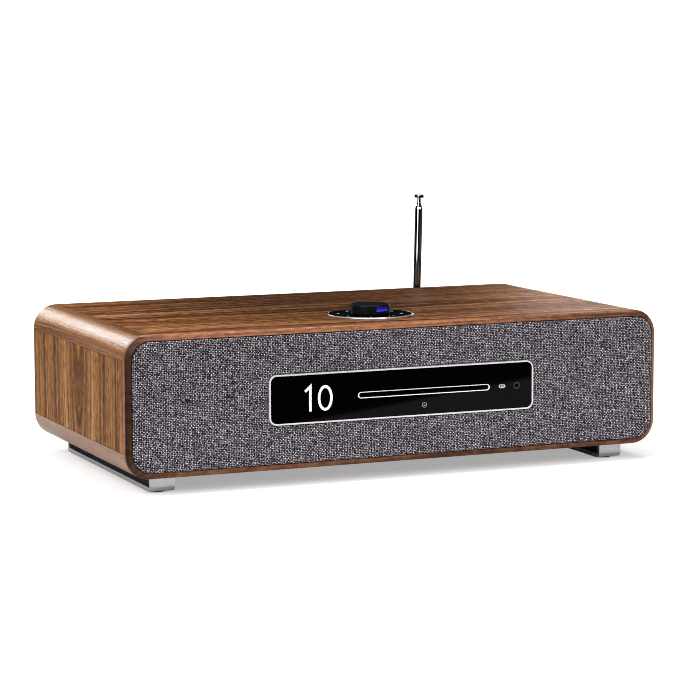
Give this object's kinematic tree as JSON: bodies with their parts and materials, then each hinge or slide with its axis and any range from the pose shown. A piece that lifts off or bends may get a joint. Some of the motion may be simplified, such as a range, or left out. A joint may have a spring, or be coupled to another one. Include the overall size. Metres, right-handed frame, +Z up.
{
  "type": "mini hifi system",
  "caption": "One-box hifi in a rounded wooden shell: cloth grille, glossy fascia with disc slot, rotary control on top, telescopic aerial behind, low metal feet.",
  "frame": {"origin": "bottom centre of the whole object, on the plane that it stands on", "axes": "+X to the right seen from the front, +Y to the back, +Z up"},
  "size_m": [0.52, 0.298, 0.2341],
  "materials": {
    "walnut_top": "satin lacquer",
    "walnut_bottom": "satin lacquer",
    "walnut_side": "satin lacquer",
    "walnut_moulding": "satin lacquer",
    "walnut_border": "satin lacquer",
    "rear_board": "fine texture",
    "baffle_board": "painted",
    "grille_plastic": "moulded",
    "grille_tweed": "woven",
    "bezel_metal": "polished",
    "black_plastic": "moulded",
    "gloss_window": "gloss",
    "slot_metal": "polished",
    "circuit_board": "solder mask",
    "button_metal": "satin",
    "jack_plastic": "moulded",
    "basket_steel": "powder coat",
    "magnet_steel": "plated",
    "surround_rubber": "smooth",
    "cone_paper": "pressed pulp",
    "guard_metal": "powder coat",
    "port_plastic": "moulded",
    "amplifier_alloy": "extruded",
    "socket_metal": "plated",
    "socket_plastic": "moulded",
    "contact_brass": "turned",
    "aerial_chrome": "polished",
    "ring_metal": "polished",
    "dial_gloss": "gloss",
    "knob_plastic": "soft touch",
    "blue_light": "lit",
    "key_gloss": "gloss",
    "drive_steel": "galvanised",
    "turntable_plastic": "moulded",
    "sled_plastic": "moulded",
    "roller_rubber": "ground",
    "foot_aluminium": "satin anodised",
    "foot_rubber": "smooth",
    "screw_steel": "plated"
  },
  "bodies": {
    "root": {"top_panel": "walnut_top", "bottom_panel": "walnut_bottom", "left_panel": "walnut_side", "right_panel": "walnut_side", "corner_mouldings": "walnut_moulding", "front_surround": "walnut_border", "rear_panel": "rear_board", "baffle": "baffle_board", "grille_frame": "grille_plastic", "grille_cloth": "grille_tweed", "fascia_bezel": "bezel_metal", "fascia_carrier": "black_plastic", "fascia_window": "gloss_window", "slot_trim": "slot_metal", "display_board": "circuit_board", "headphone_jack": "jack_plastic", "driver_baskets": "basket_steel", "driver_magnets": "magnet_steel", "driver_surrounds": "surround_rubber", "woofer_guard": "guard_metal", "bass_port": "port_plastic", "main_board": "circuit_board", "amplifier_board": "amplifier_alloy", "power_supply": "circuit_board", "line_sockets": "socket_metal", "digital_sockets": "socket_metal", "mains_inlet": "socket_plastic", "antenna_socket": "contact_brass", "dial_ring": "ring_metal", "dial_base": "dial_gloss", "encoder": "magnet_steel", "cd_chassis": "drive_steel", "foot_rails": "foot_aluminium", "foot_blocks": "foot_rubber", "panel_screws": "screw_steel"},
    "eject": {"eject_button": "button_metal"},
    "left_cone": {"left_cone": "cone_paper"},
    "right_cone": {"right_cone": "cone_paper"},
    "woofer_cone": {"woofer_cone": "cone_paper"},
    "shutter": {"optical_shutter": "socket_plastic"},
    "aerial_elbow": {"antenna_elbow": "aerial_chrome"},
    "aerial_tube_1": {"antenna_tube_1": "aerial_chrome"},
    "aerial_tube_2": {"antenna_tube_2": "aerial_chrome"},
    "aerial_tube_3": {"antenna_tube_3": "aerial_chrome"},
    "aerial_rod": {"antenna_rod": "aerial_chrome"},
    "plunger": {"encoder_plunger": "contact_brass"},
    "knob": {"dial_knob": "knob_plastic", "dial_light": "blue_light", "encoder_shaft": "button_metal"},
    "turntable": {"cd_turntable": "turntable_plastic"},
    "sled": {"cd_sled": "sled_plastic"},
    "roller": {"cd_roller": "roller_rubber"},
    "key_1": {"key_1": "key_gloss"},
    "key_2": {"key_2": "key_gloss"},
    "key_3": {"key_3": "key_gloss"},
    "key_4": {"key_4": "key_gloss"},
    "key_5": {"key_5": "key_gloss"},
    "key_6": {"key_6": "key_gloss"},
    "key_7": {"key_7": "key_gloss"},
    "key_8": {"key_8": "key_gloss"}
  },
  "joints": [
    {"name": "eject_press", "type": "slide", "parent": "root", "child": "eject", "axis": [0, 1, 0], "range_m": [0, 0.0008], "stiffness_N_per_m": 400},
    {"name": "left_cone_move", "type": "slide", "parent": "root", "child": "left_cone", "axis": [0, -1, 0], "range_m": [-0.003, 0.003], "stiffness_N_per_m": 1500},
    {"name": "right_cone_move", "type": "slide", "parent": "root", "child": "right_cone", "axis": [0, -1, 0], "range_m": [-0.003, 0.003], "stiffness_N_per_m": 1500},
    {"name": "woofer_cone_move", "type": "slide", "parent": "root", "child": "woofer_cone", "axis": [0, 0, -1], "range_m": [-0.005, 0.005], "stiffness_N_per_m": 2500},
    {"name": "shutter_swing", "type": "hinge", "parent": "root", "child": "shutter", "pos_m": [0.032, 0.12602, 0.0585], "axis": [-1, 0, 0], "range_deg": [0, 75], "stiffness_Nm_per_rad": 0.0006},
    {"name": "aerial_swivel", "type": "hinge", "parent": "root", "child": "aerial_elbow", "pos_m": [0.1465, 0.13323, 0.064], "axis": [0, 1, 0], "range_deg": [-90, 90]},
    {"name": "aerial_tilt", "type": "hinge", "parent": "aerial_elbow", "child": "aerial_tube_1", "pos_m": [0.1465, 0.14422, 0.064], "axis": [-0.9997, 0, 0.0262], "range_deg": [0, 90]},
    {"name": "aerial_slide_1", "type": "slide", "parent": "aerial_tube_1", "child": "aerial_tube_2", "axis": [0.0262, 0, 0.9997], "range_m": [0, 0.11]},
    {"name": "aerial_slide_2", "type": "slide", "parent": "aerial_tube_2", "child": "aerial_tube_3", "axis": [0.0262, 0, 0.9997], "range_m": [0, 0.11]},
    {"name": "aerial_slide_3", "type": "slide", "parent": "aerial_tube_3", "child": "aerial_rod", "axis": [0.0262, 0, 0.9997], "range_m": [0, 0.11]},
    {"name": "knob_press", "type": "slide", "parent": "root", "child": "plunger", "axis": [0, 0, -1], "range_m": [0, 0.0008], "stiffness_N_per_m": 1200},
    {"name": "knob_spin", "type": "hinge", "parent": "plunger", "child": "knob", "pos_m": [0, -0.07278, 0.141], "axis": [0, 0, 1], "continuous": true},
    {"name": "turntable_spin", "type": "hinge", "parent": "root", "child": "turntable", "pos_m": [0.02, -0.04977, 0.07025], "axis": [0, 0, 1], "continuous": true},
    {"name": "sled_travel", "type": "slide", "parent": "root", "child": "sled", "axis": [1, 0, 0], "range_m": [0, 0.019]},
    {"name": "roller_spin", "type": "hinge", "parent": "root", "child": "roller", "pos_m": [0.02, -0.11378, 0.07165], "axis": [1, 0, 0], "continuous": true},
    {"name": "key_1_press", "type": "slide", "parent": "root", "child": "key_1", "axis": [0, 0, -1], "range_m": [0, 0.0005], "stiffness_N_per_m": 500},
    {"name": "key_2_press", "type": "slide", "parent": "root", "child": "key_2", "axis": [0, 0, -1], "range_m": [0, 0.0005], "stiffness_N_per_m": 500},
    {"name": "key_3_press", "type": "slide", "parent": "root", "child": "key_3", "axis": [0, 0, -1], "range_m": [0, 0.0005], "stiffness_N_per_m": 500},
    {"name": "key_4_press", "type": "slide", "parent": "root", "child": "key_4", "axis": [0, 0, -1], "range_m": [0, 0.0005], "stiffness_N_per_m": 500},
    {"name": "key_5_press", "type": "slide", "parent": "root", "child": "key_5", "axis": [0, 0, -1], "range_m": [0, 0.0005], "stiffness_N_per_m": 500},
    {"name": "key_6_press", "type": "slide", "parent": "root", "child": "key_6", "axis": [0, 0, -1], "range_m": [0, 0.0005], "stiffness_N_per_m": 500},
    {"name": "key_7_press", "type": "slide", "parent": "root", "child": "key_7", "axis": [0, 0, -1], "range_m": [0, 0.0005], "stiffness_N_per_m": 500},
    {"name": "key_8_press", "type": "slide", "parent": "root", "child": "key_8", "axis": [0, 0, -1], "range_m": [0, 0.0005], "stiffness_N_per_m": 500}
  ]
}
